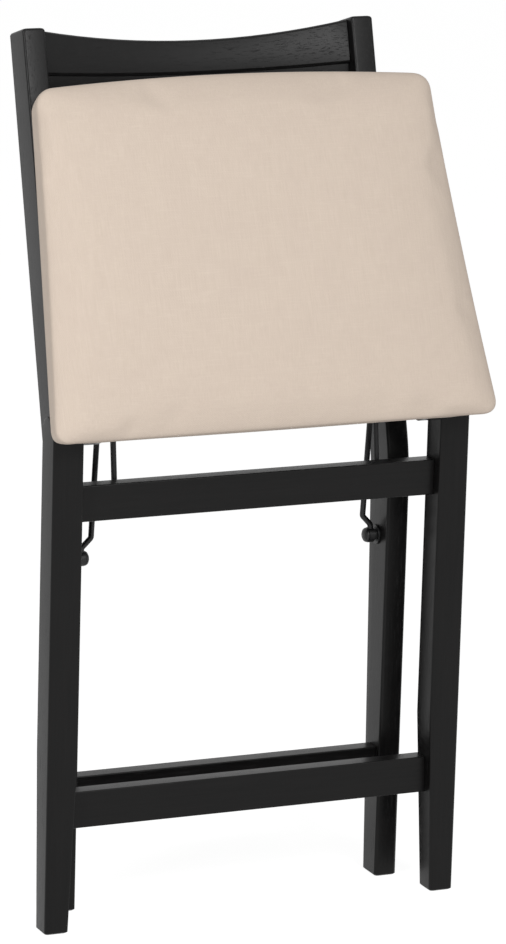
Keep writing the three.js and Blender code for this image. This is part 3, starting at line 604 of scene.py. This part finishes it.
def linen(name):
    """Plain weave with slubs both ways, with painted shade in the hollows between the threads. On the
    sides the threads run up and round.
    """
    finish = Finish(name)
    where = finish.place(SEAT_FRONT, SEAT_TURN)
    normal = finish.node("ShaderNodeTexCoord", {}, {}, "Normal")
    facing = finish.node("ShaderNodeVectorMath", {"operation": "DOT_PRODUCT"}, {
        0: normal, 1: seat_up}, "Value")
    on_top = finish.stretch(finish.math("ABSOLUTE", facing), 0.45, 0.75)
    slubs_along, slubs_across = (
        finish.noise(finish.place(SEAT_FRONT, SEAT_TURN, size), 1, 3, 0.6)
        for size in ((SLUB_WIDTH, SLUB_LENGTH, SLUB_WIDTH), (SLUB_LENGTH, SLUB_WIDTH, SLUB_WIDTH)))
    mottle = finish.noise(where, 38, 4, 0.6)
    x, y, z = (
        finish.math("SINE", finish.node("ShaderNodeSeparateXYZ", {}, {"Vector": where}, axis)
                    * (2 * math.pi / THREADS))
        for axis in "XYZ")
    weave = x * y * on_top + (x + y) * z * (1 - on_top) * 0.7
    tone = finish.between(finish.stretch(slubs_along, 0.25, 0.75), LINEN_DARK, LINEN_LIGHT)
    tone = finish.between(finish.stretch(slubs_across, 0.5, 0.8, 0, 0.5), tone, LINEN_SLUB)
    tone = finish.between(finish.stretch(mottle, 0.35, 0.8, 0, 0.25), tone, LINEN_MOTTLE)
    # Painted shade: the colour darkens towards the hollow shade where the weave is lowest
    finish.surface({
        "Base Color": finish.between(finish.stretch(weave, -1, 1, 0.2, 0), tone, LINEN_HOLLOW_SHADE),
        "Roughness": 0.86 + mottle * 0.1,
        "Specular IOR Level": 0.15,
        "Sheen Weight": 0.12,
        "Sheen Roughness": 0.5,
    })
    finish.relief(weave * 0.6 + slubs_along + slubs_across, LINEN_RELIEF, 0.55)
    return finish.material


def filled_out(piece, held):
    """The cover pushed out by the foam's pressure, by a few millimetres at the most."""
    cover = piece.data
    grip = piece.vertex_groups.new(name="held")
    for vert, firm in held.items():
        grip.add([vert], firm, "REPLACE")
    filling = piece.modifiers.new("filling", "CLOTH")
    filling.settings.quality = 6
    filling.settings.mass = 0.3
    filling.settings.tension_stiffness = 40
    filling.settings.compression_stiffness = 40
    filling.settings.shear_stiffness = 15
    filling.settings.bending_stiffness = 30
    filling.settings.use_pressure = True
    filling.settings.uniform_pressure_force = 4
    filling.settings.vertex_group_mass = "held"
    filling.settings.effector_weights.gravity = 0
    filling.collision_settings.use_collision = False
    for step in range(1, FILLING_STEPS + 1):
        scene.frame_set(step)
    full = piece.evaluated_get(bpy.context.evaluated_depsgraph_get())
    moved = [full.data.vertices[i].co.copy() for i in range(len(cover.vertices))]
    scene.frame_set(1)
    piece.modifiers.remove(filling)
    piece.vertex_groups.remove(grip)
    for vert, place in zip(cover.vertices, moved):
        rise = (place - vert.co).dot(seat_up)
        drift = place - vert.co - seat_up * rise
        vert.co += seat_up * min(max(rise, -FILLING_RISE), FILLING_RISE)
        vert.co += drift * min(1, FILLING_DRIFT / max(drift.length, 1e-9))


cushion_form, held_points = cushion_mesh()
cushion = added("seat_cushion_linen", cushion_form, linen("oatmeal_linen"), "seat")
filled_out(cushion, held_points)
finer = cushion.modifiers.new("finer", "SUBSURF")
finer.levels = 1
finer.render_levels = 1
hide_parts("seat_cushion")

# Dust cloth: black spun cloth with its edge turned in, stretched under the board and over the
# cover's hem, and stapled there with bare steel staples.
LINING_DARK = shade(22, 22, 22)
LINING_LIGHT = shade(44, 43, 42)
LINING_FIBRE = 0.0008
LINING_RELIEF = 0.00015
LINING_TOP = -0.0268
LINING_BOTTOM = -0.0272
LINING_MIDDLE = -0.0270
# Rings from the turned-in edge round to the cloth's field: how far set in, and at what height
LINING_ROWS = (
    (0.024, LINING_TOP), (0.012, LINING_TOP), (0.012, LINING_BOTTOM), (0.022, LINING_BOTTOM),
    (0.0226, LINING_MIDDLE), (0.06, LINING_MIDDLE),
)
LINING_LONG_POINTS = 46
LINING_SHORT_POINTS = 35
STEEL_DULL = shade(150, 151, 153)
STEEL_BRIGHT = shade(190, 191, 193)
STAPLE_INSET = 0.0185
STAPLES_LONG = 12
STAPLES_SHORT = 9
STAPLE_WIDTH = 0.0011
STAPLE_WIRE = 0.00044
# Along a staple from leg to leg: how far along, how far off the cloth, and which way is outside
STAPLE_BENDS = (
    (-0.00475, -0.0006, (-1, 0)), (-0.00475, -0.0001, (-1, 0)), (-0.0045, 0.0001, (0, 1)),
    (0.0045, 0.0001, (0, 1)), (0.00475, -0.0001, (1, 0)), (0.00475, -0.0006, (1, 0)),
)
# No staples under the cleats' noses, this near the front and this far from the middle
NOSE_BACK = 0.05
NOSE_INNER = 0.17
NOSE_OUTER = 0.225


def dust_cloth(name):
    finish = Finish(name)
    fibres = finish.noise(finish.place(size=(LINING_FIBRE, LINING_FIBRE, LINING_FIBRE)), 1, 4, 0.7)
    dimples = finish.node("ShaderNodeTexVoronoi", {}, {
        "Vector": finish.place(), "Scale": 700}, "Distance")
    finish.surface({
        "Base Color": finish.between(fibres, LINING_DARK, LINING_LIGHT),
        "Roughness": 0.88 + fibres * 0.1,
        "Specular IOR Level": 0.2,
    })
    finish.relief(dimples + fibres, LINING_RELIEF)
    return finish.material


def lining_mesh():
    mesh = bmesh.new()
    rows = []
    for inset, height in LINING_ROWS:
        ring = seat_edge(inset, long=LINING_LONG_POINTS, short=LINING_SHORT_POINTS)
        rows.append([mesh.verts.new((*point, height)) for point in ring])
    for lower, upper in zip(rows, rows[1:]):
        walled(mesh, lower, upper)
    mesh.faces.new(rows[-1])
    mesh.faces.new(list(reversed(rows[0])))
    bmesh.ops.recalc_face_normals(mesh, faces=mesh.faces)
    mesh.transform(seat_place)
    return mesh


lining = added("seat_dust_cloth", lining_mesh(), dust_cloth("black_dust_cloth"), "seat")
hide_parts("seat_lining")


def staple(form, at, along):
    """A staple's crown and the start of its legs, lying on the dust cloth."""
    aside = Vector((-along.y, along.x, 0))
    rings = []
    for reach, rise, (lean, lift) in STAPLE_BENDS:
        ring = []
        for wide, out in ((-1, -1), (1, -1), (1, 1), (-1, 1)):
            thick = out * STAPLE_WIRE / 2
            ring.append(form.verts.new(
                at + along * (reach + lean * thick) + aside * wide * STAPLE_WIDTH / 2
                - Vector((0, 0, rise + lift * thick))))
        rings.append(ring)
    for lower, upper in zip(rings, rings[1:]):
        walled(form, lower, upper)
    form.faces.new(rings[0])
    form.faces.new(rings[-1])


def bare_steel(name):
    finish = Finish(name)
    dull = finish.noise(finish.place(), 300, 2)
    finish.surface({
        "Base Color": finish.between(dull, STEEL_DULL, STEEL_BRIGHT),
        "Roughness": 0.3 + dull * 0.2,
        "Metallic": 1,
    })
    return finish.material


staples = bmesh.new()
line = seat_edge(STAPLE_INSET, long=STAPLES_LONG, short=STAPLES_SHORT)
for i, point in enumerate(line):
    if point.y < NOSE_BACK and NOSE_INNER < abs(point.x) < NOSE_OUTER:
        continue
    along = line[(i + 1) % len(line)] - line[i - 1]
    askew = 0.12 * math.sin(i * 5.1)
    turn = math.atan2(along.y, along.x) + askew
    staple(staples, Vector((*point, LINING_BOTTOM)), Vector((math.cos(turn), math.sin(turn), 0)))
bmesh.ops.recalc_face_normals(staples, faces=staples.faces)
staples.transform(seat_place)
stapled = added("dust_cloth_staples", staples, bare_steel("bare_steel"), "seat")
eased(stapled, SCREW_EDGE)

# Studio: a white floor that runs out of view, a white room, one soft lamp in front of the stool
# and above it, and a weaker one on its left. Both lamps look at the stool's middle.
FLOOR_REACH = 40
FLOOR_WHITE = 1.33
FLOOR_SHARE = 0.7
ROOM_LIGHT = 0.23
LAMP_AIM = Vector((0, 0, 0.6))
# Each lamp's name, place, width and power
LAMPS = (
    ("front_lamp", (0.3, -2.4, 2.05), 0.9, 34),
    ("left_lamp", (-2.0, -1.2, 1.6), 0.8, 21.5),
)


def looked_at(nodes):
    """One for a ray from the camera, mirrored or through glass, none for light on the stool."""
    seen, mirrored, through = (
        nodes.node("ShaderNodeLightPath", {}, {}, f"Is {kind} Ray")
        for kind in ("Camera", "Glossy", "Transmission"))
    return nodes.math("MAXIMUM", nodes.math("MAXIMUM", seen, mirrored), through)


floor_mesh = bpy.data.meshes.new("studio_floor")
floor_form = bmesh.new()
bmesh.ops.create_circle(floor_form, cap_ends=True, segments=64, radius=FLOOR_REACH)
floor_form.to_mesh(floor_mesh)
floor_form.free()
studio_floor = bpy.data.objects.new("studio_floor", floor_mesh)
scene.collection.objects.link(studio_floor)
ground = Finish("white_floor")
ground.surface({"Base Color": (0.9, 0.9, 0.9, 1), "Roughness": 0.9, "Specular IOR Level": 0})
glow = ground.node("ShaderNodeEmission", {}, {"Strength": FLOOR_WHITE}, "Emission")
lit = Wire(ground, ground.shader.outputs["BSDF"])
shown = ground.node("ShaderNodeMixShader", {}, {
    0: looked_at(ground) * FLOOR_SHARE, 1: lit, 2: glow}, "Shader")
ground.feed(ground.tree.nodes["Material Output"].inputs["Surface"], shown)
ground.material.cycles.emission_sampling = "NONE"
floor_mesh.materials.append(ground.material)

room = bpy.data.worlds.new("white_room")
room.use_nodes = True
room.cycles.sampling_method = "NONE"
scene.world = room
walls = Nodes(room.node_tree)
background = walls.tree.nodes["Background"]
walls.feed(background.inputs["Color"], (1, 1, 1, 1))
walls.feed(background.inputs["Strength"], walls.stretch(looked_at(walls), 0, 1, ROOM_LIGHT, 1))

for name, place, size, power in LAMPS:
    lamp = bpy.data.lights.new(name, "AREA")
    lamp.shape = "DISK"
    lamp.size = size
    lamp.energy = power
    hung = bpy.data.objects.new(name, lamp)
    scene.collection.objects.link(hung)
    hung.location = place
    hung.rotation_euler = (hung.location - LAMP_AIM).to_track_quat("Z", "Y").to_euler()

scene.view_settings.view_transform = "Standard"
